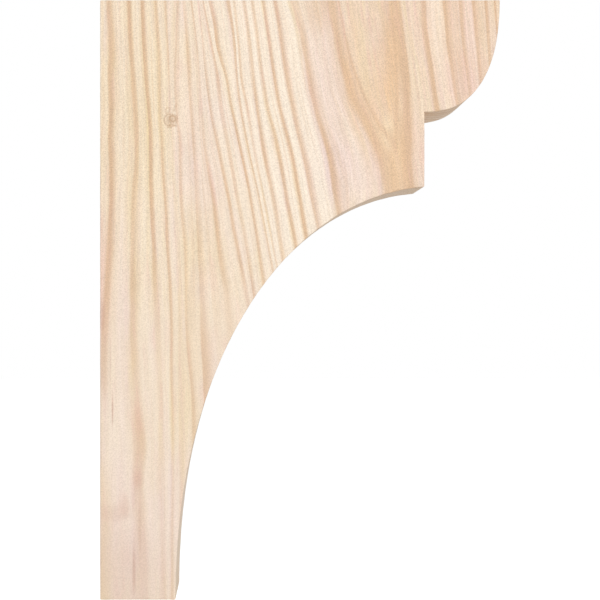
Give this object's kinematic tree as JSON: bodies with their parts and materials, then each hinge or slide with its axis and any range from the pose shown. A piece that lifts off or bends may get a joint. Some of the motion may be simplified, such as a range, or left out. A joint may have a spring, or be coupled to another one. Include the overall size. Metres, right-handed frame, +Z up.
{
  "type": "corbel bracket",
  "caption": "Solid wood corbel bracket: flat top and wall face, rounded nose over an upright step, and one long concave curve down to a narrow foot.",
  "frame": {"origin": "centre of the flat wall face", "axes": "+X straight out from the wall, +Y through the thickness, +Z up along the wall face"},
  "size_m": [0.4064, 0.0888, 0.6096],
  "materials": {
    "wood": "planed and sanded, left bare"
  },
  "bodies": {
    "root": {"corbel": "wood"}
  },
  "joints": []
}
